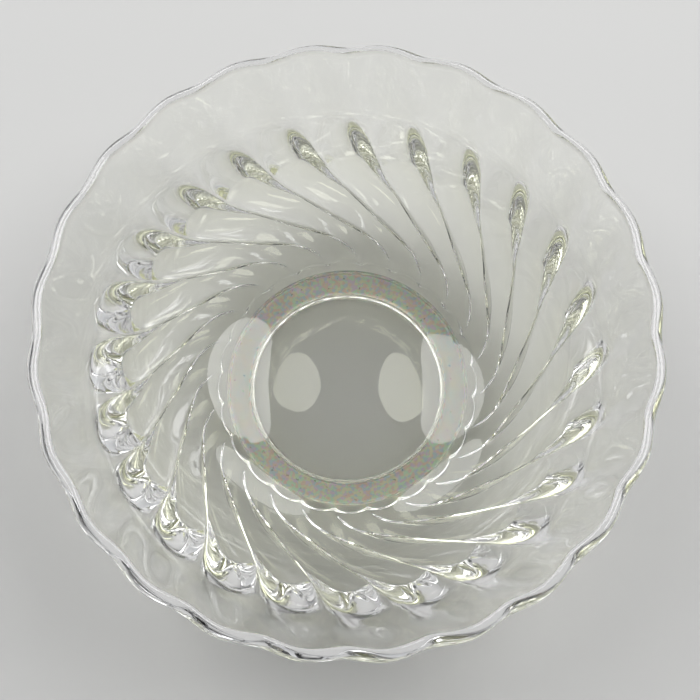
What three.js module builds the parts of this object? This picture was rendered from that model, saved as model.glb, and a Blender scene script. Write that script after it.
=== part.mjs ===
// A clear pressed-glass dessert bowl: a thick base on a low foot ring, a wall of 24 swirled gadroons
// that run out into a plain flared band, and a round lip that keeps their scallops.
// The real bowl is one pressing. It is built as its four formed sections, which meet face to face
// on level planes. Millimetres, +Z up, with the origin under the middle of the foot.
import * as THREE from "three";

// Levels, from the table up
const HEIGHT = 50;
const FOOT_TOP = 3; // the foot ring meets the base
const HEEL = 4.5; // widest level of the sharp turn above the foot
const WALL_FOOT = 10; // the base meets the gadrooned wall
const DEPTH_FULL_AT = 14; // the creases are at their full depth
const END_FROM = 18; // from here up the gadroons grow shallower
const BELLY = 22; // the wall's curve ends here and a steep, straight part begins
const FLARE_FROM = 33; // from here up the wall leans out further
const FLARE_FULL = 36; // from here up it is straight again
const WALL_TOP = 36.5; // the wall meets the flared band
const GADROON_END = 40; // from here up only the lip's scallops are left of the gadroons
const FLOOR = 7.6; // inside floor at the middle
const RECESS_TOP = 4.5; // the hollow under the base, at its middle

// Radii
const HEEL_RADIUS = 29.6;
const INNER_WAIST = 50.2; // inside, where the wall meets the band
const LIP_RADIUS = 58.8; // to the middle of the round lip
const LIP_ROUNDING = 1.25;
const FOOT_OUTER = 27.5;
const FOOT_FLAT_OUTER = 26.5;
const FOOT_FLAT_INNER = 23.5;
const FOOT_INNER = 22.2;
const RECESS_RADIUS = 18.8;

// The wall's outline
const FLARE_ANGLE = 26.6; // degrees that the band leans out from upright
const LEAN_OUT = 0.28; // the same for the steep part, as millimetres out for each one up
const WALL_FULLNESS = 1.75; // exponent of the curve below the belly, 2 being a parabola

// Gadroons
const GADROONS = 24;
const COLUMNS_EACH = 6; // mesh columns across one gadroon
const LIP_CREST_ANGLE = 6.8; // degrees from +X to the first gadroon's crest at the lip
const LEAN = 12; // degrees that a crest turns evenly between heel and lip
const SWIRL = 39; // degrees that it turns besides, out of the base
const SWIRL_FROM = 28.5; // radius where that turn starts
const SWIRL_TO = 52.5; // radius where it has faded out
const DEPTH = 3.4; // of the creases, square to the wall
const DEPTH_AT_HEEL = 0.4;
const DEPTH_AT_LIP = 0.9;
const CREST_FULLNESS = 0.9; // exponent of a gadroon's cross-section, 1 being a parabola
const LIP_FULLNESS = 2; // the same for the lip's softer scallops

const COLUMNS = GADROONS * COLUMNS_EACH;
const PITCH = 360 / GADROONS;
const radians = THREE.MathUtils.degToRad;
const clamp = THREE.MathUtils.clamp;
const lerp = THREE.MathUtils.lerp;
const smoothstep = THREE.MathUtils.smoothstep;

// Point of the round lip's section, by its angle above the level through its middle.
function lipPoint(degrees) {
  const turned = new THREE.Vector2(LIP_ROUNDING, 0).rotateAround(new THREE.Vector2(), radians(degrees));
  return turned.add(new THREE.Vector2(LIP_RADIUS, HEIGHT - LIP_ROUNDING));
}

const lipFoot = lipPoint(-FLARE_ANGLE);
const lipEnd = lipPoint(180 - FLARE_ANGLE);
const flareOut = Math.tan(radians(FLARE_ANGLE));

// Radius of the band's straight line at level z, carried on below it by the wall's steep part.
function straightRadius(z) {
  const spread = FLARE_FULL - FLARE_FROM;
  const under = Math.max(FLARE_FULL - z, 0);
  const bend = Math.min(under, spread);
  const steeper = (flareOut - LEAN_OUT) * bend * (under - bend / 2);
  return lipFoot.x - flareOut * (lipFoot.y - z) + steeper / spread;
}

const CURVE = straightRadius(HEEL) - HEEL_RADIUS; // how far the wall curves in below the belly

// Share of the way from the belly down to the heel.
function belowBelly(z) {
  return clamp((BELLY - z) / (BELLY - HEEL), 0, 1);
}

// Radius over the gadroons' crests at level z.
function crestRadius(z) {
  return straightRadius(z) - CURVE * belowBelly(z) ** WALL_FULLNESS;
}

// Depth of the creases at full size, measured level, which is longer where the wall leans out.
function creaseStep(z) {
  const slope = ((CURVE * WALL_FULLNESS) / (BELLY - HEEL)) * belowBelly(z) ** (WALL_FULLNESS - 1);
  const depth = lerp(DEPTH_AT_HEEL, DEPTH, smoothstep(z, HEEL, DEPTH_FULL_AT));
  return depth * Math.hypot(1, LEAN_OUT + slope);
}

// How far the glass falls back from the crest radius, for a place t across a gadroon.
function dip(t, z) {
  const ending = smoothstep(z, END_FROM, GADROON_END);
  const height = lerp(creaseStep(z), DEPTH_AT_LIP, ending);
  const fullness = lerp(CREST_FULLNESS, LIP_FULLNESS, ending);
  return height * (1 - (1 - t * t) ** fullness);
}

// Degrees that a gadroon has turned at level z, counted back from the lip.
function swirlAngle(z) {
  const turned = smoothstep(crestRadius(z), SWIRL_FROM, SWIRL_TO);
  return -LEAN * ((HEIGHT - z) / (HEIGHT - HEEL)) - SWIRL * (1 - turned);
}

// Place of a mesh column across its gadroon: -1 in the crease, 0 on the crest.
function across(column) {
  return (2 * (column % COLUMNS_EACH)) / COLUMNS_EACH - 1;
}

// Degrees from +X to the first mesh column, which follows the creases.
function startAngle(z) {
  return LIP_CREST_ANGLE - PITCH / 2 + swirlAngle(z);
}

function columnAngle(column, z) {
  return radians(startAngle(z) + (column * PITCH) / COLUMNS_EACH);
}

function outerWallPoint(column, z) {
  return polar(crestRadius(z) - dip(across(column), z), columnAngle(column, z), z);
}

function polar(radius, angle, z) {
  return new THREE.Vector3(radius * Math.cos(angle), radius * Math.sin(angle), z);
}

// Inside line of the bowl, from the waist down to the edge of the floor, as radius and level.
const innerLine = new THREE.CubicBezierCurve(
  new THREE.Vector2(INNER_WAIST, WALL_TOP),
  new THREE.Vector2(INNER_WAIST - 4.25, WALL_TOP - 8.5),
  new THREE.Vector2(38.5, 9.4),
  new THREE.Vector2(13, FLOOR + 0.1),
);

// Place along a falling curve where it crosses level z, by halving.
function crossing(curve, z) {
  let low = 0;
  let high = 1;
  for (let i = 0; i < 40; i++) {
    const middle = (low + high) / 2;
    if (curve.getPoint(middle).y > z) low = middle;
    else high = middle;
  }
  return (low + high) / 2;
}

const wallFootPlace = crossing(innerLine, WALL_FOOT);

// A ring is one point for each mesh column.
function ring(columns, pointAt) {
  return Array.from({ length: columns }, (_, column) => pointAt(column));
}

function roundRing(columns, radius, z, turn = 0) {
  return ring(columns, (column) => polar(radius, radians(turn) + (column * 2 * Math.PI) / columns, z));
}

// Rings of the outside between two levels.
function outerRings(from, to, count) {
  return steps(from, to, count).map((z) => ring(COLUMNS, (column) => outerWallPoint(column, z)));
}

// Rings on the inside line between two places, all turned like the creases at one level.
function innerRings(from, to, count, turnLevel) {
  return steps(from, to, count).map((place) => {
    const { x: radius, y: z } = innerLine.getPoint(place);
    return roundRing(COLUMNS, radius, z, startAngle(turnLevel));
  });
}

// Equal steps from a to b, both ends included.
function steps(a, b, count) {
  return Array.from({ length: count + 1 }, (_, i) => lerp(a, b, i / count));
}

// Faces between one ring and the next. The next may start some columns further round.
function strip(columns, row, next, shift = 0) {
  const faces = [];
  for (let column = 0; column < columns; column++) {
    const a = row * columns + column;
    const b = row * columns + ((column + 1) % columns);
    const c = next * columns + ((column + 1 + shift) % columns);
    const d = next * columns + ((column + shift) % columns);
    faces.push(a, b, c, a, c, d);
  }
  return faces;
}

function geometryOf(points, faces) {
  const geometry = new THREE.BufferGeometry().setFromPoints(points);
  geometry.setIndex(faces);
  geometry.computeVertexNormals();
  return geometry;
}

// A closed ring-shaped skin: the rings in turn round its section, and the last joined to the first.
function hoop(rings, shift = 0) {
  const columns = rings[0].length;
  const last = rings.length - 1;
  const faces = rings.slice(1).flatMap((_, row) => strip(columns, row, row + 1));
  faces.push(...strip(columns, last, 0, shift));
  return geometryOf(rings.flat(), faces);
}

// A closed disc-shaped skin: a pole, the rings from below round the edge to the top, and a pole.
function disc(lowPole, rings, highPole) {
  const columns = rings[0].length;
  const last = rings.length - 1;
  const faces = rings.slice(1).flatMap((_, row) => strip(columns, row, row + 1));
  const points = rings.flat();
  const low = points.push(lowPole) - 1;
  const high = points.push(highPole) - 1;
  for (let column = 0; column < columns; column++) {
    const next = (column + 1) % columns;
    faces.push(low, next, column);
    faces.push(high, last * columns + column, last * columns + next);
  }
  return geometryOf(points, faces);
}

// Low ring that the bowl stands on, with a flat foot and a hollow inner side.
function footRing() {
  const columns = 96;
  const inside = new THREE.QuadraticBezierCurve(
    new THREE.Vector2(FOOT_INNER, 0.9),
    new THREE.Vector2(FOOT_INNER - 0.4, 2.7),
    new THREE.Vector2(RECESS_RADIUS, FOOT_TOP),
  );
  const section = [
    ...inside.getPoints(3).reverse(),
    new THREE.Vector2(FOOT_INNER + 0.4, 0.25),
    new THREE.Vector2(FOOT_FLAT_INNER, 0),
    new THREE.Vector2(FOOT_FLAT_OUTER, 0),
    new THREE.Vector2(FOOT_OUTER - 0.3, 0.4),
    new THREE.Vector2(FOOT_OUTER, 1.2),
    new THREE.Vector2(FOOT_OUTER, FOOT_TOP),
  ];
  return hoop(section.map(({ x, y }) => roundRing(columns, x, y)));
}

// Point of the turn between the foot and the heel, where the creases begin.
function turnInPoint(column) {
  const out = 0.6;
  const up = 0.4;
  const radius = lerp(FOOT_OUTER, HEEL_RADIUS, out) - DEPTH_AT_HEEL * up * across(column) ** 2;
  return polar(radius, columnAngle(column, HEEL), lerp(FOOT_TOP, HEEL, up));
}

// Thick bottom of the bowl: the hollow below, the floor above and the gadroons' lower ends outside.
function base() {
  const hollow = (share) => {
    const z = lerp(RECESS_TOP, FOOT_TOP, share ** 2);
    return roundRing(COLUMNS, RECESS_RADIUS * share, z, startAngle(HEEL));
  };
  const rings = [
    ...steps(0, 1, 3).slice(1).map(hollow),
    roundRing(COLUMNS, FOOT_OUTER, FOOT_TOP, startAngle(HEEL)),
    ring(COLUMNS, turnInPoint),
    ...outerRings(HEEL, WALL_FOOT, 3),
    ...innerRings(wallFootPlace, 1, 4, WALL_FOOT),
  ];
  return disc(polar(0, 0, RECESS_TOP), rings, polar(0, 0, FLOOR));
}

// Wall of swirled gadroons, smooth inside.
function gadroonedWall() {
  const outer = outerRings(WALL_FOOT, WALL_TOP, 12);
  const inner = innerRings(0, wallFootPlace, 7, WALL_TOP);
  const swirled = (swirlAngle(WALL_TOP) - swirlAngle(WALL_FOOT)) / PITCH;
  return hoop([...outer, ...inner], Math.round(swirled * COLUMNS_EACH));
}

// Plain band that flares out to the round lip. The scallops go round the lip and die out inside.
function flaredBand() {
  const towardsWall = new THREE.Vector2(-5, 0).rotateAround(new THREE.Vector2(), radians(90 - FLARE_ANGLE));
  const inside = new THREE.CubicBezierCurve(
    lipEnd,
    lipEnd.clone().add(towardsWall),
    new THREE.Vector2(INNER_WAIST + 2.25, WALL_TOP + 4.5),
    new THREE.Vector2(INNER_WAIST, WALL_TOP),
  );
  const scalloped = ({ x: radius, y: z }, share) =>
    ring(COLUMNS, (column) => polar(radius - share * dip(across(column), z), columnAngle(column, z), z));
  const fading = (point) => scalloped(point, smoothstep(point.y, GADROON_END, lipEnd.y));
  const lip = [...steps(-FLARE_ANGLE, 90, 3), ...steps(90, 180 - FLARE_ANGLE, 2).slice(1)].map(lipPoint);
  return hoop([
    ...outerRings(WALL_TOP, lipFoot.y, 6),
    ...lip.slice(1).map((point) => scalloped(point, 1)),
    ...inside.getPoints(4).slice(1).map(fading),
  ]);
}

const SECTIONS = {
  foot_ring: footRing,
  base: base,
  gadrooned_wall: gadroonedWall,
  flared_rim: flaredBand,
};

const bowl = new THREE.Group();
for (const [name, shape] of Object.entries(SECTIONS)) {
  const glass = new THREE.MeshStandardMaterial({
    color: "#e9eee6",
    roughness: 0.04,
    metalness: 0,
    transparent: true,
    opacity: 0.4,
  });
  const mesh = new THREE.Mesh(shape(), glass);
  mesh.name = name;
  bowl.add(mesh);
}

export default bowl;
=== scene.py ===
# %% [markdown]
# # A clear pressed-glass dessert bowl
# This lesson dresses a small glass bowl for a picture. The bowl is one pressing: hot glass is
# pushed into an iron mould by a plunger, so the outside carries the mould's swirled gadroons and
# the inside is as smooth as the plunger. The shape follows a few rules, so most of it is built by
# one Geometry Nodes tree, and the rest of the lesson is about how clear glass shows at all.

# %% Load the fixed frame
import math

import bpy
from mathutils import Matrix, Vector


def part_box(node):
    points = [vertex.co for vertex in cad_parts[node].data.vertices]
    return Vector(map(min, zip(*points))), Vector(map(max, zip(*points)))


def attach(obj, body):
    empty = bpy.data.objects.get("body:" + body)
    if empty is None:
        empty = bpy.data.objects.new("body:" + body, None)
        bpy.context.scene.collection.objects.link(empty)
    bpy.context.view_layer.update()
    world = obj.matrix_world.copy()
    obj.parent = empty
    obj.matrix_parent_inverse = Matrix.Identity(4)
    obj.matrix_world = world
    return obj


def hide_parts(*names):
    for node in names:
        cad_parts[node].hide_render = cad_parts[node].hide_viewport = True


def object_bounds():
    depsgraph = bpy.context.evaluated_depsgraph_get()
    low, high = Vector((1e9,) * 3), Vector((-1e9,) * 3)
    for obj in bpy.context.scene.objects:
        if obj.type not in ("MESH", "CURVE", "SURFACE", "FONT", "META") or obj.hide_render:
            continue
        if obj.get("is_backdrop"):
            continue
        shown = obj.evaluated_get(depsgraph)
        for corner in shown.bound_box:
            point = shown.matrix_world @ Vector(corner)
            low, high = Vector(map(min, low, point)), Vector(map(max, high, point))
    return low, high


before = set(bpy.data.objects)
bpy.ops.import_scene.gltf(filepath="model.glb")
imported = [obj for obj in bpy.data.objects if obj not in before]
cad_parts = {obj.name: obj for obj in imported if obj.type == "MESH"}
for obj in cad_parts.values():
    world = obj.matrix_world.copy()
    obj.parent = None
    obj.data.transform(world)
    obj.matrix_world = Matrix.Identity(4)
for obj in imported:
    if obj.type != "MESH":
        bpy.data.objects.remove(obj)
cad_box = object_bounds()
print("frame nodes:", sorted(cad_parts))

# %% [markdown]
# ## Levels and radii
# The bowl is built as four formed sections that meet on level planes. Those planes come from the
# frame's boxes, so the fine meshes meet exactly where the solids do. The radii and the rules of
# the gadroons are the driving sizes of the solids, in metres here. Going up, the wall curves out
# of the heel, runs steep and straight from the belly, and leans out further where the flared band
# begins.

# %% Sizes
MM = 0.001
FOOT_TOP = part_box("foot_ring")[1].z
WALL_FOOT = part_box("base")[1].z
WALL_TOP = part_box("gadrooned_wall")[1].z
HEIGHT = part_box("flared_rim")[1].z
FOOT_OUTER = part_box("foot_ring")[1].x

HEEL = 4.5 * MM  # level of the sharp turn above the foot
BELLY = 22 * MM
FLARE_FROM = 33 * MM
FLARE_FULL = 36 * MM  # the band is straight from here up
DEPTH_FULL = 14 * MM  # level where the creases reach their full depth
END_FROM = 18 * MM  # from here up the gadroons grow shallower
GADROON_END = 40 * MM  # only the lip's scallops are left of them
FLOOR = 7.6 * MM
RECESS_TOP = 4.5 * MM  # top of the hollow under the base

HEEL_RADIUS = 29.6 * MM
INNER_WAIST = 50.2 * MM  # inside, where the wall meets the band
FOOT_FLAT_OUTER = 26.5 * MM
FOOT_FLAT_INNER = 23.5 * MM
FOOT_INNER = 22.2 * MM
RECESS_RADIUS = 18.8 * MM

LEAN_OUT = 0.28  # of the steep part, in millimetres out for each one up
FLARE_ANGLE = math.radians(26.6)  # that the band leans out from upright
LIP_ROUNDING = 1.25 * MM
LIP_CENTRE = Vector((58.8 * MM, HEIGHT - LIP_ROUNDING))
LIP_START = LIP_CENTRE + LIP_ROUNDING * Vector((math.cos(FLARE_ANGLE), -math.sin(FLARE_ANGLE)))
LIP_END = 2 * LIP_CENTRE - LIP_START

GADROONS = 24
DEPTH = 3.4 * MM  # of the creases, square to the wall
DEPTH_AT_HEEL = 0.4 * MM
DEPTH_AT_LIP = 0.9 * MM
COLUMNS_EACH = 24  # columns of the fine mesh across one gadroon
HAIR = 0.001 * MM  # gap that keeps two joint faces apart
print("joint levels in mm:", [round(z / MM, 2) for z in (FOOT_TOP, WALL_FOOT, WALL_TOP, HEIGHT)])

# %% [markdown]
# ## The camera
# The photograph looks down into the bowl from about 75 degrees, from a hand's length above the
# rim. A camera is a place, a target and a focal length. The three were found by fitting the
# ellipses of the rim and of the foot, which fixes the height of the bowl as well.

# %% Camera at the photograph's view
VIEW_ELEVATION = math.radians(75.2)
VIEW_DISTANCE = 240 * MM
FRAME_PIXELS = 700
FOCAL_PIXELS = 1284
RIM_CENTRE_PIXEL = (347, 334)
SENSOR = 36.0

rim_centre = Vector((0, 0, HEIGHT))
look = Vector((0, math.cos(VIEW_ELEVATION), -math.sin(VIEW_ELEVATION)))
up = Vector((0, math.sin(VIEW_ELEVATION), math.cos(VIEW_ELEVATION)))
right = Vector((1, 0, 0))
pixel = VIEW_DISTANCE / FOCAL_PIXELS
half_frame = FRAME_PIXELS / 2
target = (rim_centre + right * (half_frame - RIM_CENTRE_PIXEL[0]) * pixel
          - up * (half_frame - RIM_CENTRE_PIXEL[1]) * pixel)

camera_data = bpy.data.cameras.new("photo_camera")
camera_data.sensor_width = SENSOR
camera_data.lens = SENSOR * FOCAL_PIXELS / FRAME_PIXELS
camera_data.clip_start = 0.01
camera = bpy.data.objects.new("photo_camera", camera_data)
camera.location = rim_centre - look * VIEW_DISTANCE
camera.rotation_euler = (target - camera.location).to_track_quat("-Z", "Y").to_euler()
bpy.context.scene.collection.objects.link(camera)
bpy.context.scene.camera = camera
print("lens %.1f mm, camera at %s mm"
      % (camera_data.lens, [round(v / MM) for v in camera.location]))

# %% [markdown]
# ## Writing node trees as sums
# A Geometry Nodes tree is a formula drawn as boxes. Placing dozens of Math boxes by hand hides the
# formula, so this small class lets a script write `a + b * c` and get the boxes. Each value knows
# its tree and its socket, and every sum adds one Math node. It serves the materials as well.

# %% A value in a node tree
class Value:
    """A number field in a node tree, which grows the tree when it is used in a sum."""

    def __init__(self, tree, socket):
        self.tree = tree
        self.socket = socket

    def math(self, operation, *others):
        node = self.tree.nodes.new("ShaderNodeMath")
        node.operation = operation
        for place, value in enumerate((self, *others)):
            if isinstance(value, Value):
                self.tree.links.new(value.socket, node.inputs[place])
            else:
                node.inputs[place].default_value = value
        return Value(self.tree, node.outputs[0])

    def __add__(self, other):
        return self.math("ADD", other)

    def __sub__(self, other):
        return self.math("SUBTRACT", other)

    def __rsub__(self, other):
        return self.math("MULTIPLY", -1.0).math("ADD", other)

    def __mul__(self, other):
        return self.math("MULTIPLY", other)

    def __truediv__(self, other):
        return self.math("DIVIDE", other)

    def __pow__(self, other):
        return self.math("POWER", other)

    def root(self):
        return self.math("SQRT")

    def clamped(self):
        return self.math("MAXIMUM", 0.0).math("MINIMUM", 1.0)

    def smooth(self):
        """Smoothstep of a value that already runs from 0 to 1."""
        x = self.clamped()
        return x * x * (3.0 - x * 2.0)


# %% [markdown]
# ## The pressing rule as a tree
# Every section is a grid bent round the bowl's axis. One way of the grid runs round the bowl, and
# the other runs along the section's outline, which is the object's own mesh: a row of points with
# a few named shares. A share says how far a row takes part in a rule, such as the gadroons or the
# scallops of the lip. The grid's columns follow the swirl, so every crease lies on an edge.

# %% Inputs of the tree
GADROON_INPUTS = {
    "Gadroons": GADROONS,
    "Lip crest angle": math.radians(6.8),
    "Lean": math.radians(12),
    "Swirl": math.radians(39),
    "Swirl from": 28.5 * MM,
    "Swirl to": 52.5 * MM,
    "Wall fullness": 1.75,
    "Crest fullness": 0.9,
    "Lip fullness": 2.0,
    "Heel radius": HEEL_RADIUS,
    "Lip crest": LIP_START.x,
    "Lean out": LEAN_OUT,
    "Flare out": math.tan(FLARE_ANGLE),
    "Flare from": FLARE_FROM,
    "Flare full": FLARE_FULL,
    "Depth": DEPTH,
    "Depth at heel": DEPTH_AT_HEEL,
    "Depth at lip": DEPTH_AT_LIP,
    "Depth full at": DEPTH_FULL,
    "Heel": HEEL,
    "Belly": BELLY,
    "End from": END_FROM,
    "Gadroon end": GADROON_END,
    "Lip foot": LIP_START.y,
    "Height": HEIGHT,
}
SHARES = ("gadroon", "scallop", "turn_level")


def new_tree(name):
    """An empty Geometry Nodes tree with the pressing rule's named inputs."""
    tree = bpy.data.node_groups.new(name, "GeometryNodeTree")
    tree.is_modifier = True
    tree.interface.new_socket("Geometry", in_out="INPUT", socket_type="NodeSocketGeometry")
    tree.interface.new_socket("Geometry", in_out="OUTPUT", socket_type="NodeSocketGeometry")
    for label, value in GADROON_INPUTS.items():
        socket = tree.interface.new_socket(label, in_out="INPUT", socket_type="NodeSocketFloat")
        socket.default_value = value
    for label in ("Joint below", "Joint above"):
        tree.interface.new_socket(label, in_out="INPUT", socket_type="NodeSocketFloat")
    tree.interface.new_socket("Columns", in_out="INPUT", socket_type="NodeSocketInt")
    tree.interface.new_socket("Worn and painted top", in_out="INPUT", socket_type="NodeSocketFloat")
    for label in ("Glass", "Worn glass, painted dispersion", "Joint face"):
        tree.interface.new_socket(label, in_out="INPUT", socket_type="NodeSocketMaterial")
    return tree


# %% Steps of the tree
def link(tree, source, target_node, target_name):
    """Joins an output socket to a named input."""
    socket = source.socket if isinstance(source, Value) else source
    tree.links.new(socket, target_node.inputs[target_name])


def node(tree, kind, settings=(), inputs=()):
    """A node with its settings made and its inputs joined or set."""
    made = tree.nodes.new(kind)
    for key, value in dict(settings).items():
        setattr(made, key, value)
    for key, value in dict(inputs).items():
        if isinstance(value, (Value, bpy.types.NodeSocket)):
            link(tree, value, made, key)
        else:
            made.inputs[key].default_value = value
    return made


def row_value(tree, section, attribute, row):
    """The number that the section's outline stores for the grid's row."""
    stored = node(tree, "GeometryNodeInputNamedAttribute", {"data_type": "FLOAT"}, {
        "Name": attribute})
    sample = node(tree, "GeometryNodeSampleIndex", {"data_type": "FLOAT", "domain": "POINT"}, {
        "Geometry": section, "Value": stored.outputs["Attribute"], "Index": row})
    return Value(tree, sample.outputs["Value"])


def envelope(sizes, z):
    """Radius over the crests at a level, and how steeply the wall below the belly leans out."""
    opening = sizes["Flare out"] - sizes["Lean out"]
    spread = sizes["Flare full"] - sizes["Flare from"]
    under = (sizes["Flare full"] - z).math("MAXIMUM", 0.0)
    bend = under.math("MINIMUM", spread)
    straight = (sizes["Lip crest"] - sizes["Flare out"] * (sizes["Lip foot"] - z)
                + opening * bend * (under - bend / 2.0) / spread)
    rise = sizes["Belly"] - sizes["Heel"]
    below = ((sizes["Belly"] - z) / rise).clamped()
    at_heel = (sizes["Lip crest"] - sizes["Flare out"] * (sizes["Lip foot"] - sizes["Heel"])
               + opening * (sizes["Flare full"] - sizes["Heel"] - spread / 2.0))
    curve = at_heel - sizes["Heel radius"]
    crest = straight - curve * below ** sizes["Wall fullness"]
    slope = (sizes["Lean out"]
             + curve * sizes["Wall fullness"] / rise * below ** (sizes["Wall fullness"] - 1.0))
    return crest, slope


def gadroon_rules(sizes, t, z):
    """Radius on the gadroons, the dip between two of them, and the crest's share."""
    crest, slope = envelope(sizes, z)
    deepening = ((z - sizes["Heel"]) / (sizes["Depth full at"] - sizes["Heel"])).smooth()
    depth = sizes["Depth at heel"] + (sizes["Depth"] - sizes["Depth at heel"]) * deepening
    step = depth * (slope * slope + 1.0).root()
    ending = ((z - sizes["End from"]) / (sizes["Gadroon end"] - sizes["End from"])).smooth()
    height = step + (sizes["Depth at lip"] - step) * ending
    fullness = sizes["Crest fullness"] + (sizes["Lip fullness"] - sizes["Crest fullness"]) * ending
    shape = (1.0 - t * t).math("MAXIMUM", 0.0) ** fullness
    dip = height * (1.0 - shape)
    return crest - dip, dip, shape * (1.0 - ending)


def swirl(sizes, z):
    """Angle that a gadroon has turned at a level, counted back from the lip."""
    crest, _ = envelope(sizes, z)
    turn = ((crest - sizes["Swirl from"]) / (sizes["Swirl to"] - sizes["Swirl from"])).smooth()
    lean = sizes["Lean"] * (sizes["Height"] - z) / (sizes["Height"] - sizes["Heel"])
    return lean + sizes["Swirl"] * (1.0 - turn)


# %% The tree itself
MERGED_WITHIN = HAIR / 4  # closes the seam and the poles, and no joint


def pressing_tree():
    """Bends a grid round the axis along the section's outline, and presses the gadroons into it."""
    tree = new_tree("pressed_section")
    inlet = tree.nodes.new("NodeGroupInput")
    sizes = {name: Value(tree, inlet.outputs[name]) for name in GADROON_INPUTS}
    section = inlet.outputs["Geometry"]
    columns = Value(tree, inlet.outputs["Columns"])

    counted = node(tree, "GeometryNodeAttributeDomainSize", {"component": "MESH"}, {
        "Geometry": section})
    rows = Value(tree, counted.outputs["Point Count"])
    grid = node(tree, "GeometryNodeMeshGrid", (), {"Vertices X": columns + 1.0, "Vertices Y": rows})
    index = Value(tree, node(tree, "GeometryNodeInputIndex").outputs["Index"])
    column = (index / rows).math("FLOOR")
    row = index - column * rows

    level = row_value(tree, section, "level", row)
    plain_radius = row_value(tree, section, "radius", row)
    gadroon, scallop, turn_level = (row_value(tree, section, name, row) for name in SHARES)

    place = column * sizes["Gadroons"] / columns
    t = place.math("FRACT") * 2.0 - 1.0
    ruled_radius, dip, shape = gadroon_rules(sizes, t, level)
    pitch = (place - 0.5) * (2 * math.pi) / sizes["Gadroons"]
    angle = sizes["Lip crest angle"] + pitch - swirl(sizes, turn_level)
    radius = plain_radius + (ruled_radius - plain_radius) * gadroon - dip * scallop

    position = node(tree, "ShaderNodeCombineXYZ", (), {
        "X": radius * angle.math("COSINE"), "Y": radius * angle.math("SINE"), "Z": level})
    bent = node(tree, "GeometryNodeSetPosition", (), {
        "Geometry": grid.outputs["Mesh"], "Position": position.outputs["Vector"]})
    marked = node(tree, "GeometryNodeStoreNamedAttribute", {
        "data_type": "FLOAT", "domain": "POINT"}, {
        "Geometry": bent.outputs["Geometry"], "Name": "thick_glass", "Value": shape * gadroon})
    closed = node(tree, "GeometryNodeMergeByDistance", (), {
        "Geometry": marked.outputs["Geometry"], "Distance": MERGED_WITHIN})
    return finish_tree(tree, inlet, closed.outputs["Geometry"])


# %% Shading and materials in the tree
NEAR_JOINT = 5 * HAIR  # points this close to a joint's level belong to its face


def finish_tree(tree, inlet, geometry):
    """Smooth shading with a sharp edge round the joints, and the three materials."""
    height = node(tree, "ShaderNodeSeparateXYZ", (), {
        "Vector": node(tree, "GeometryNodeInputPosition").outputs["Position"]})
    on_joint = []
    for name in ("Joint below", "Joint above"):
        equal = node(tree, "FunctionNodeCompare", {"data_type": "FLOAT", "operation": "EQUAL"}, {
            "A": height.outputs["Z"], "B": inlet.outputs[name], "Epsilon": NEAR_JOINT})
        on_joint.append(equal.outputs["Result"])
    either = node(tree, "FunctionNodeBooleanMath", {"operation": "OR"})
    tree.links.new(on_joint[0], either.inputs[0])
    tree.links.new(on_joint[1], either.inputs[1])
    joint = either.outputs["Boolean"]

    smooth = node(tree, "GeometryNodeSetShadeSmooth", {"domain": "FACE"}, {
        "Geometry": geometry, "Shade Smooth": True})
    crisp = node(tree, "GeometryNodeSetShadeSmooth", {"domain": "EDGE"}, {
        "Geometry": smooth.outputs["Geometry"], "Selection": joint, "Shade Smooth": False})
    real = node(tree, "GeometryNodeRealizeInstances", (), {"Geometry": crisp.outputs["Geometry"]})
    glass = node(tree, "GeometryNodeSetMaterial", (), {
        "Geometry": real.outputs["Geometry"], "Material": inlet.outputs["Glass"]})
    low = node(tree, "FunctionNodeCompare", {"data_type": "FLOAT", "operation": "LESS_THAN"}, {
        "A": height.outputs["Z"], "B": inlet.outputs["Worn and painted top"]})
    # faces below the worn top take the worn glass, which is matt and carries painted dispersion
    # colours
    worn_and_painted = node(tree, "GeometryNodeSetMaterial", (), {
        "Geometry": glass.outputs["Geometry"], "Selection": low.outputs["Result"],
        "Material": inlet.outputs["Worn glass, painted dispersion"]})
    clear = node(tree, "GeometryNodeSetMaterial", (), {
        "Geometry": worn_and_painted.outputs["Geometry"], "Selection": joint,
        "Material": inlet.outputs["Joint face"]})
    outlet = tree.nodes.new("NodeGroupOutput")
    link(tree, clear.outputs["Geometry"], outlet, "Geometry")
    return tree


pressing = pressing_tree()
print("the pressing rule takes", len(pressing.nodes), "nodes")

# %% [markdown]
# ## Outlines of the four sections
# An outline is walked from the bottom outside, up the outside, over the top and down the inside.
# Where the outside follows the pressing rule, a row only needs its level. The lip is half a
# circle. The inside is as smooth as the plunger, so it is a Bezier curve with the solids' own
# handles. The rows could be drawn by hand, but then they would drift from the solids. Computed
# from the same sizes, they stay with them.

# %% Helpers for outlines
def row(radius, level, gadroon=0.0, scallop=0.0, turn_level=None):
    """One point of an outline with its shares."""
    turn_level = level if turn_level is None else turn_level
    return {"radius": radius, "level": level, "gadroon": gadroon, "scallop": scallop,
            "turn_level": turn_level}


def between(a, b, share):
    return a + (b - a) * share


def shares(count):
    """Equal steps from 0 to 1, both ends included."""
    return [i / count for i in range(count + 1)]


def bezier(points, share):
    """Point of a Bezier curve of any degree, by repeated mixing."""
    points = [Vector(p) for p in points]
    while len(points) > 1:
        points = [a.lerp(b, share) for a, b in zip(points, points[1:])]
    return points[0]


def smoothstep(value, low, high):
    x = min(max((value - low) / (high - low), 0.0), 1.0)
    return x * x * (3 - 2 * x)


INNER_LINE = (
    (INNER_WAIST, WALL_TOP),
    (45.95 * MM, 28 * MM),
    (38.5 * MM, 9.4 * MM),
    (13 * MM, FLOOR + 0.1 * MM),
)
HALVINGS = 40


def crossing(points, level):
    """Share along a falling curve where it crosses a level, by halving."""
    low, high = 0.0, 1.0
    for _ in range(HALVINGS):
        middle = (low + high) / 2
        if bezier(points, middle).y > level:
            low = middle
        else:
            high = middle
    return (low + high) / 2


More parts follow.
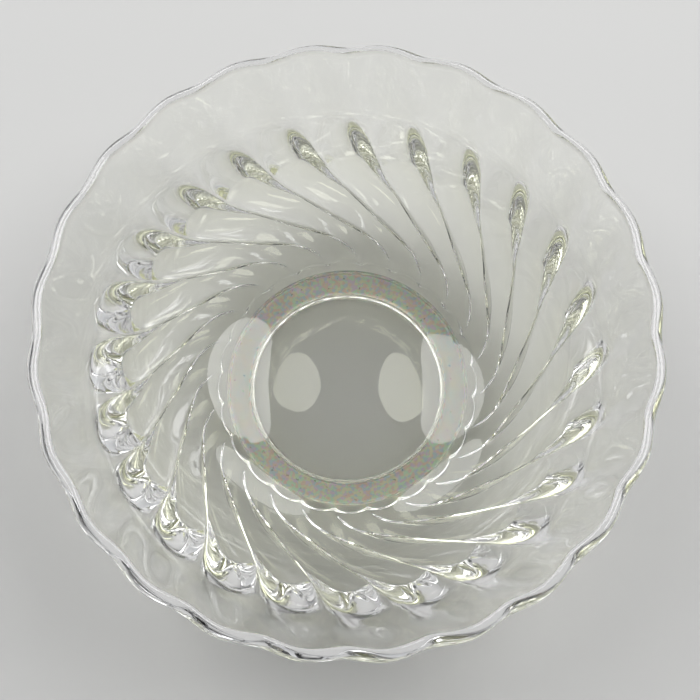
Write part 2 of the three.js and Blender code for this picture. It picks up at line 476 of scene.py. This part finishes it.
wall_foot_place = crossing(INNER_LINE, WALL_FOOT)
print("the inside line meets the base %.1f mm from the axis"
      % (bezier(INNER_LINE, wall_foot_place).x / MM))

# %% [markdown]
# ## The gadrooned wall
# This is the part of the bowl that carries the swirled gadroons, from the base up to the band. One
# gadroon could be modelled and turned round the axis 24 times, but its edges would have to meet
# its neighbour's exactly. Here the whole wall follows one rule, so it has no such seams. Its rows
# lie close together outside, because glass bends light at every edge of the mesh.

# %% Outline of the gadrooned wall
WALL_ROWS_OUTSIDE = 110
WALL_ROWS_INSIDE = 36


def wall_outline():
    rows = []
    for share in shares(WALL_ROWS_OUTSIDE):
        level = between(WALL_FOOT + HAIR, WALL_TOP - HAIR, share)
        rows.append(row(0, level, gadroon=1))
    for share in shares(WALL_ROWS_INSIDE):
        point = bezier(INNER_LINE, share * wall_foot_place)
        level = min(max(point.y, WALL_FOOT + HAIR), WALL_TOP - HAIR)
        rows.append(row(point.x, level))
    return rows + rows[:1]


# %% [markdown]
# ## The flared band and its lip
# Above the wall the glass leans out in a plain band, and its edge is rounded by fire and waves in
# 24 scallops. The creases fade into the band outside. Inside, only the scallops are left, and the
# share of them grows towards the lip. A bevel on a thin shell would give a lip as well, but half a
# circle in the outline keeps it evenly round, and a lip shows every flat spot.

# %% Outline of the flared band and its lip
BAND_ROWS_OUTSIDE = 36
LIP_ROWS = 14
BAND_ROWS_INSIDE = 34
UPPER_HANDLE = 5 * MM  # long, down the band's own slope
LOWER_HANDLE = (INNER_WAIST + 2.25 * MM, WALL_TOP + 4.5 * MM)  # up the wall's slope inside


def rim_outline():
    down_the_band = Vector((-math.sin(FLARE_ANGLE), -math.cos(FLARE_ANGLE)))
    waist = (INNER_WAIST, WALL_TOP)
    inside = (LIP_END, LIP_END + UPPER_HANDLE * down_the_band, LOWER_HANDLE, waist)
    rows = []
    for share in shares(BAND_ROWS_OUTSIDE):
        level = between(WALL_TOP + HAIR, LIP_START.y, share)
        rows.append(row(0, level, gadroon=1))
    for share in shares(LIP_ROWS)[1:]:
        angle = share * math.pi - FLARE_ANGLE
        point = LIP_CENTRE + LIP_ROUNDING * Vector((math.cos(angle), math.sin(angle)))
        rows.append(row(point.x, point.y, scallop=1))
    for share in shares(BAND_ROWS_INSIDE)[1:]:
        point = bezier(inside, share)
        scallop = smoothstep(point.y, GADROON_END, LIP_END.y)
        rows.append(row(point.x, max(point.y, WALL_TOP + HAIR), scallop=scallop))
    return rows + rows[:1]


# %% [markdown]
# ## The base
# The base is the thickest glass: a shallow hollow below, the gadroons' lower ends outside and the
# nearly flat floor above. It reaches the axis twice, below and above, so its outline isn't closed.
# Each of its two ends turns into one point when the doubles are merged. A lathe curve would do for
# the floor and the hollow, but not for the gadroons' ends, so the base follows the rule too.

# %% Outline of the base
RECESS_ROWS = 8
HEEL_ROWS = 5
GADROON_FOOT_ROWS = 18
FLOOR_ROWS = 16
MIDDLE_ROWS = 5  # of the floor, near the axis


def base_outline():
    low, high = FOOT_TOP + HAIR, WALL_FOOT - HAIR
    rows = []
    for share in shares(RECESS_ROWS):
        radius = between(0, RECESS_RADIUS, share)
        level = between(RECESS_TOP, low, share * share)
        rows.append(row(radius, level, turn_level=HEEL))
    for share in shares(HEEL_ROWS):
        level = between(low, HEEL, share)
        rows.append(row(FOOT_OUTER, level, gadroon=1 - (1 - share) ** 2, turn_level=HEEL))
    for share in shares(GADROON_FOOT_ROWS)[1:]:
        rows.append(row(0, between(HEEL, high, share), gadroon=1))
    for share in shares(FLOOR_ROWS):
        point = bezier(INNER_LINE, between(wall_foot_place, 1, share))
        rows.append(row(point.x, min(point.y, high), turn_level=WALL_FOOT))
    last = bezier(INNER_LINE, 1)
    for share in shares(MIDDLE_ROWS)[1:]:
        level = between(last.y, FLOOR, 1 - (1 - share) ** 2)
        rows.append(row(between(last.x, 0, share), level, turn_level=WALL_FOOT))
    return rows


# %% [markdown]
# ## The foot ring
# The bowl stands on a low ring with a flat rim below, rounded corners and a hollow inside. It is
# plain, so a torus with a flattened underside could stand for it. As an outline of three Bezier
# curves it meets the base exactly, and its corners get the soft edges of pressed glass.

# %% Outline of the foot ring
HOLLOW_ROWS = 8
CORNER_ROWS = 6
INNER_CORNER = 0.9 * MM
OUTER_CORNER = 1.2 * MM
HOLLOW_HANDLE = (FOOT_INNER - 0.4 * MM, 2.7 * MM)
SIDE_LEVEL = 2 * MM  # of the one row on the ring's upright side


def foot_outline():
    high = FOOT_TOP - HAIR
    inside = ((FOOT_INNER, INNER_CORNER), HOLLOW_HANDLE, (RECESS_RADIUS, high))
    inner_corner = ((FOOT_FLAT_INNER, 0), (FOOT_INNER, 0), (FOOT_INNER, INNER_CORNER))
    outer_corner = ((FOOT_OUTER, OUTER_CORNER), (FOOT_OUTER, 0), (FOOT_FLAT_OUTER, 0))
    points = [bezier(inside, 1 - share) for share in shares(HOLLOW_ROWS)]
    points += [bezier(inner_corner, 1 - share) for share in shares(CORNER_ROWS)[1:]]
    points += [bezier(outer_corner, 1 - share) for share in shares(CORNER_ROWS)]
    points += [Vector((FOOT_OUTER, level)) for level in (SIDE_LEVEL, high)]
    rows = [row(point.x, point.y, turn_level=HEEL) for point in points]
    return rows + rows[:1]


OUTLINES = {
    "foot_ring": foot_outline(),
    "base": base_outline(),
    "gadrooned_wall": wall_outline(),
    "flared_rim": rim_outline(),
}
print("rows of the outlines:", {name: len(rows) for name, rows in OUTLINES.items()})

# %% [markdown]
# ## Clear glass
# Clear glass has almost no colour of its own. What shows is what it bends and mirrors, so the
# shape and the lamps do the work, and the material only needs the right index and a very smooth
# surface with the faint ripple of a fire-polished pressing. Its colour shows where light goes a
# long way through the glass: along the creases and in the gadroons' ends it is mirrored inside
# again and again. The Ray Length, read where a ray meets the glass from within, is the last part
# of that way. Each metre of it keeps only a share of every colour, the least of the blue. A ray
# that was mirrored inside has come a longer way than its last part, so it gets a deeper
# yellow-green. An absorbing volume would be the direct way, but it is slower, and a model file
# can't carry it in this form.

# %% Colour of the glass
IOR = 1.52
THIN_COLOUR = (0.996, 0.998, 0.994, 1)
THICK_COLOUR = (0.986, 0.989, 0.957, 1)
MIRRORED_COLOUR = (0.89, 0.9, 0.71, 1)
TAKEN_PER_METRE = {"Red": 3.0, "Green": 2.6, "Blue": 11.0}
ROOT = 2  # the shader lets the square root of its colour through, so the powers are doubled


def mixed(tree, a, b, factor=1.0, blend="MIX"):
    """A colour mix whose three inputs are sockets or plain values."""
    mix = node(tree, "ShaderNodeMix", {"data_type": "RGBA", "blend_type": blend},
               {"A": a, "B": b, "Factor": factor})
    return mix.outputs["Result"]


def glass_colour(tree, light_path):
    """Nearly clear, a little warmer in the gadroons, and yellow-green after a long way."""
    thick = node(tree, "ShaderNodeAttribute", {"attribute_name": "thick_glass"})
    tint = mixed(tree, THIN_COLOUR, THICK_COLOUR, thick.outputs["Fac"])
    within = Value(tree, node(tree, "ShaderNodeNewGeometry").outputs["Backfacing"])
    mirrored = Value(tree, light_path.outputs["Is Reflection Ray"]) * within
    tint = mixed(tree, tint, MIRRORED_COLOUR, mirrored)
    length = Value(tree, light_path.outputs["Ray Length"]) * within
    left = node(tree, "ShaderNodeCombineColor", (), {
        channel: (length * (-ROOT * taken)).math("EXPONENT")
        for channel, taken in TAKEN_PER_METRE.items()})
    return mixed(tree, tint, left.outputs["Color"], blend="MULTIPLY")


print("shares of light left after 10 mm of glass:",
      {channel: round(math.exp(-taken * 10 * MM), 3) for channel, taken in TAKEN_PER_METRE.items()})

# %% [markdown]
# ## Shelf wear
# The flat ring under the foot slides over shelves and tables for years, so it is ground matt while
# the rest stays polished. Matt glass scatters light like frost, which makes the ring show bright
# through the base. Its faint colours are painted dispersion: pale specks in the base colour stand
# in for the colours of light split by the tiny facets. A mask could mix it into the clear glass,
# but a model file keeps one plain shader for each material. So it is a material of its own, half
# clear and half white, on the faces up to the foot's rounded corners.

# %% Worn glass under the foot, with painted dispersion colours
# the worn glass, with its painted dispersion colours, covers the faces below this level
WORN_AND_PAINTED_TOP = 1.0 * MM
CLEAR_SHARE = 0.45  # of the worn glass; the rest scatters
MATT = (0.25, 0.6)  # roughness of the least and the most worn spots
GRAIN = 900.0  # size of the worn spots: a larger number makes them smaller
GRAIN_DETAIL = 3.0
GRAIN_RANGE = (0.3, 0.7)  # most of the noise lies between these
FACETS = 1500.0  # size of the facets, in the same way
# pale colours painted into the worn glass, facet by facet: painted dispersion that stands in for
# light split by the facets
PAINTED_DISPERSION_COLOURS = ((1, 0.8, 0.76), (1, 0.97, 0.8), (0.8, 1, 0.86), (0.74, 0.86, 1), (0.94, 0.8, 1))


def new_material(name):
    """A new material and its node tree, with the Principled BSDF already in it."""
    material = bpy.data.materials.new(name)
    material.use_nodes = True
    return material, material.node_tree


def painted_dispersion_colour(tree, place):
    """One of a few pale colours for each facet: painted dispersion, which stands in for light split
    by the facets.
    """
    facets = node(tree, "ShaderNodeTexVoronoi", (), {"Vector": place, "Scale": FACETS})
    chance = node(tree, "ShaderNodeSeparateColor", (), {"Color": facets.outputs["Color"]})
    painted_specks = node(tree, "ShaderNodeValToRGB", (), {"Fac": chance.outputs["Red"]})
    ramp = painted_specks.color_ramp
    ramp.interpolation = "CONSTANT"
    ramp.elements.remove(ramp.elements[1])
    ramp.elements[0].color = (*PAINTED_DISPERSION_COLOURS[0], 1)
    for number, colour in enumerate(PAINTED_DISPERSION_COLOURS[1:], 1):
        ramp.elements.new(number / len(PAINTED_DISPERSION_COLOURS)).color = (*colour, 1)
    return painted_specks.outputs["Color"]


def worn_material_painted_dispersion():
    material, tree = new_material("worn_glass_painted_dispersion")
    shader = tree.nodes["Principled BSDF"]
    shader.inputs["IOR"].default_value = IOR
    shader.inputs["Transmission Weight"].default_value = CLEAR_SHARE
    place = node(tree, "ShaderNodeTexCoord").outputs["Object"]
    grain = node(tree, "ShaderNodeTexNoise", (), {
        "Vector": place, "Scale": GRAIN, "Detail": GRAIN_DETAIL})
    matt = node(tree, "ShaderNodeMapRange", (), {
        "Value": grain.outputs["Fac"], "From Min": GRAIN_RANGE[0], "From Max": GRAIN_RANGE[1],
        "To Min": MATT[0], "To Max": MATT[1]})
    link(tree, matt.outputs["Result"], shader, "Roughness")
    # the base colour carries the painted dispersion specks
    link(tree, painted_dispersion_colour(tree, place), shader, "Base Color")
    return material


worn_glass_painted_dispersion = worn_material_painted_dispersion()
print("worn glass reaches %.1f mm up the foot" % (WORN_AND_PAINTED_TOP / MM))

# %% [markdown]
# ## Light that stays inside
# Light that enters the round lip, or the end of a gadroon, may be mirrored many times before it
# leaves. A renderer stops counting after a few mirrorings, and the path that it drops turns black.
# Real glass isn't black there: its lip is bright. A higher limit in the render settings would
# help, but the script leaves those limits as they are. So a ray that has been mirrored often enough
# is let out where it is, and brings back the light of whatever lies in its way.

# %% The glass material
MIRRORINGS = 3.5  # a ray is let out once it was mirrored more often
RIPPLE = 120.0  # size of the ripple: a larger number makes it smaller
RIPPLE_DETAIL = 1.0
RIPPLE_STRENGTH = 0.08
RIPPLE_HEIGHT = 0.3 * MM


def let_out(tree, shader, light_path):
    """Mixes plain transparency in for rays that the glass has mirrored too often."""
    often = Value(tree, light_path.outputs["Glossy Depth"]).math("GREATER_THAN", MIRRORINGS)
    open_way = node(tree, "ShaderNodeBsdfTransparent")
    either = node(tree, "ShaderNodeMixShader", (), {"Fac": often})
    tree.links.new(shader.outputs["BSDF"], either.inputs[1])
    tree.links.new(open_way.outputs["BSDF"], either.inputs[2])
    return either.outputs["Shader"]


def glass_material():
    material, tree = new_material("pressed_glass")
    shader = tree.nodes["Principled BSDF"]
    shader.inputs["IOR"].default_value = IOR
    shader.inputs["Transmission Weight"].default_value = 1.0
    shader.inputs["Roughness"].default_value = 0.0
    light_path = node(tree, "ShaderNodeLightPath")
    link(tree, glass_colour(tree, light_path), shader, "Base Color")
    place = node(tree, "ShaderNodeTexCoord").outputs["Object"]
    ripple = node(tree, "ShaderNodeTexNoise", (), {
        "Vector": place, "Scale": RIPPLE, "Detail": RIPPLE_DETAIL})
    bump = node(tree, "ShaderNodeBump", (), {
        "Height": ripple.outputs["Fac"], "Strength": RIPPLE_STRENGTH, "Distance": RIPPLE_HEIGHT})
    link(tree, bump.outputs["Normal"], shader, "Normal")
    surface = let_out(tree, shader, light_path)
    link(tree, surface, tree.nodes["Material Output"], "Surface")
    return material


# %% The faces at the joints
def joint_material():
    """Glass runs on through a joint, so its face lets everything pass."""
    material, tree = new_material("joint_face")
    tree.nodes.remove(tree.nodes["Principled BSDF"])
    clear = node(tree, "ShaderNodeBsdfTransparent")
    link(tree, clear.outputs["BSDF"], tree.nodes["Material Output"], "Surface")
    return material


clear_glass = glass_material()
joint_face = joint_material()
for material in (clear_glass, joint_face):
    print(material.name, "has", len(material.node_tree.nodes), "nodes")

# %% [markdown]
# ## From outline to piece
# The outline is a mesh of points and edges with its shares as attributes. The modifier turns it
# into the closed section, which is copied out as a plain mesh, so that nothing live is left on the
# piece. Applying the modifier would do the same, but copying leaves the outline to be thrown away.

# %% Outline and modifier
def outline_object(name, rows):
    mesh = bpy.data.meshes.new(name)
    mesh.from_pydata([(r["radius"], 0, r["level"]) for r in rows],
                     [(i, i + 1) for i in range(len(rows) - 1)], [])
    for share in ("radius", "level", *SHARES):
        attribute = mesh.attributes.new(share, "FLOAT", "POINT")
        attribute.data.foreach_set("value", [r[share] for r in rows])
    outline = bpy.data.objects.new(name + "_outline", mesh)
    bpy.context.scene.collection.objects.link(outline)
    return outline


def set_input(modifier, name, value):
    """Sets a modifier's input by the socket's identifier."""
    for item in modifier.node_group.interface.items_tree:
        if item.item_type == "SOCKET" and item.in_out == "INPUT" and item.name == name:
            modifier[item.identifier] = value


def press(name, rows, joint_below, joint_above):
    """The finished piece for an outline: evaluated, copied out and dressed."""
    outline = outline_object(name, rows)
    modifier = outline.modifiers.new("pressing", "NODES")
    modifier.node_group = pressing
    set_input(modifier, "Joint below", joint_below)
    set_input(modifier, "Joint above", joint_above)
    set_input(modifier, "Columns", GADROONS * COLUMNS_EACH)
    set_input(modifier, "Worn and painted top", WORN_AND_PAINTED_TOP)
    set_input(modifier, "Glass", clear_glass)
    set_input(modifier, "Worn glass, painted dispersion", worn_glass_painted_dispersion)
    set_input(modifier, "Joint face", joint_face)
    bpy.context.view_layer.update()
    ready = outline.evaluated_get(bpy.context.evaluated_depsgraph_get())
    mesh = bpy.data.meshes.new_from_object(ready)
    mesh.name = name
    mesh.materials.pop(index=0)
    piece = bpy.data.objects.new(name + "_glass", mesh)
    bpy.context.scene.collection.objects.link(piece)
    bpy.data.objects.remove(outline)
    return piece


def enclosed_volume(mesh):
    """Volume inside a closed mesh, which is negative if its faces point inwards."""
    mesh.calc_loop_triangles()
    total = 0.0
    for triangle in mesh.loop_triangles:
        a, b, c = (mesh.vertices[i].co for i in triangle.vertices)
        total += a.dot(b.cross(c)) / 6
    return total


# %% Make the four pieces
NOWHERE = -1.0  # a level that no piece reaches
JOINTS = {
    "foot_ring": (NOWHERE, FOOT_TOP),
    "base": (FOOT_TOP, WALL_FOOT),
    "gadrooned_wall": (WALL_FOOT, WALL_TOP),
    "flared_rim": (WALL_TOP, NOWHERE),
}
pieces = {}
for name, (below, above) in JOINTS.items():
    pieces[name] = press(name, OUTLINES[name], below, above)
    mesh = pieces[name].data
    print("%s: %d faces, %.1f cm3, materials %s"
          % (name, len(mesh.polygons), enclosed_volume(mesh) * 1e6, list(mesh.materials)))

# %% [markdown]
# ## Floor and light
# The bowl stands on a plain pale floor. Clear glass needs something bright to mirror and something
# dim to frame it. Two broad panels above, left and right, give the soft patches in the floor of
# the bowl. Two lower ones beyond it light the gadroons' ends and the band, and the surroundings
# are brighter near the horizon than overhead. The panels are rounded, because the glass shows
# their outlines, and corners would look like windows. Far away the floor takes the horizon's
# colour for every ray that looks at it, so no dark edge shows. The floor lies a hair below the
# foot: where glass and floor share a plane, a renderer can't tell which of the two a ray meets
# first.

# %% Floor
FLOOR_COLOUR = (0.56, 0.56, 0.55, 1)
FLOOR_ROUGHNESS = 0.8
HORIZON_COLOUR = (0.62, 0.63, 0.64, 1)
FADE = (0.25, 1.1)  # distances in metres between which the floor turns into the horizon
HALF_FLOOR = 2.0
AIR = 0.02 * MM

floor_mesh = bpy.data.meshes.new("floor")
corners = [(x * HALF_FLOOR, y * HALF_FLOOR, -AIR) for x, y in ((-1, -1), (1, -1), (1, 1), (-1, 1))]
floor_mesh.from_pydata(corners, [], [(0, 1, 2, 3)])
floor = bpy.data.objects.new("floor", floor_mesh)
bpy.context.scene.collection.objects.link(floor)


def floor_material():
    """A pale matt floor that fades into the horizon, but only for rays that look at it."""
    material, tree = new_material("pale_floor")
    matt = tree.nodes["Principled BSDF"]
    matt.inputs["Base Color"].default_value = FLOOR_COLOUR
    matt.inputs["Roughness"].default_value = FLOOR_ROUGHNESS
    distance = node(tree, "ShaderNodeVectorMath", {"operation": "LENGTH"})
    tree.links.new(node(tree, "ShaderNodeTexCoord").outputs["Object"], distance.inputs[0])
    far = node(tree, "ShaderNodeMapRange", {"interpolation_type": "SMOOTHSTEP"}, {
        "Value": distance.outputs["Value"], "From Min": FADE[0], "From Max": FADE[1]})
    light_path = node(tree, "ShaderNodeLightPath").outputs
    looking = Value(tree, light_path["Is Camera Ray"])
    for kind in ("Is Glossy Ray", "Is Transmission Ray"):
        looking = looking.math("MAXIMUM", Value(tree, light_path[kind]))
    share = Value(tree, far.outputs["Result"]) * looking
    horizon = node(tree, "ShaderNodeEmission", (), {"Color": HORIZON_COLOUR})
    both = node(tree, "ShaderNodeMixShader", (), {"Fac": share})
    tree.links.new(matt.outputs["BSDF"], both.inputs[1])
    tree.links.new(horizon.outputs["Emission"], both.inputs[2])
    link(tree, both.outputs["Shader"], tree.nodes["Material Output"], "Surface")
    return material


floor_mesh.materials.append(floor_material())
floor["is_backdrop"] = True
print("the floor lies %.2f mm below the foot" % (AIR / MM))

# %% World
SKY = ((0.0, HORIZON_COLOUR), (0.75, (0.2, 0.2, 0.21, 1)))  # heights on a globe of radius 1

world = bpy.data.worlds.new("studio")
bpy.context.scene.world = world
world.use_nodes = True
sky = world.node_tree
direction = node(sky, "ShaderNodeTexCoord")
axes = node(sky, "ShaderNodeSeparateXYZ", (), {"Vector": direction.outputs["Generated"]})
fade = node(sky, "ShaderNodeValToRGB", (), {"Fac": axes.outputs["Z"]})
fade.color_ramp.interpolation = "EASE"
for element, (height, colour) in zip(fade.color_ramp.elements, SKY):
    element.position = height
    element.color = colour
link(sky, fade.outputs["Color"], sky.nodes["Background"], "Color")
print("the surroundings grow dimmer up to %.0f degrees" % math.degrees(math.asin(SKY[1][0])))

# %% Lamps
PANELS = {  # place and size in metres, and how bright the panel looks
    "left_panel": ((-0.413, 0.24, 0.763), (0.44, 0.58), 4.5),
    "right_panel": ((0.442, 0.18, 0.763), (0.56, 0.56), 5.0),
    "far_left_panel": ((-0.404, 0.647, 0.477), (0.5, 0.34), 4.0),
    "far_right_panel": ((0.38, 0.66, 0.477), (0.5, 0.34), 4.0),
}


def panel(name, place, size, radiance):
    """A soft panel of light that faces the bowl. Its power follows from how bright it looks."""
    data = bpy.data.lights.new(name, "AREA")
    data.shape = "ELLIPSE"
    data.size, data.size_y = size
    area = math.pi / 4 * size[0] * size[1]
    data.energy = radiance * math.pi * area
    lamp = bpy.data.objects.new(name, data)
    lamp.location = place
    lamp.rotation_euler = (-Vector(place)).to_track_quat("-Z", "Y").to_euler()
    bpy.context.scene.collection.objects.link(lamp)
    print("%s: %.1f W" % (name, data.energy))


for name, (place, size, radiance) in PANELS.items():
    panel(name, place, size, radiance)

# %% [markdown]
# ## Pieces on the body
# Every piece rides on the root body, its mesh takes the name of the solid it stands for, and that
# solid is hidden. The two boxes, of the solids and of the finished bowl, are printed side by side.

# %% Attach the pieces
for name, piece in pieces.items():
    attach(piece, "root")
    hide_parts(name)

bpy.context.scene.view_settings.view_transform = "Standard"
bpy.context.view_layer.update()
visual_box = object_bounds()
for title, (low, high) in (("solids", cad_box), ("finished", visual_box)):
    print(title, "in mm:", [round((b - a) / MM, 2) for a, b in zip(low, high)])
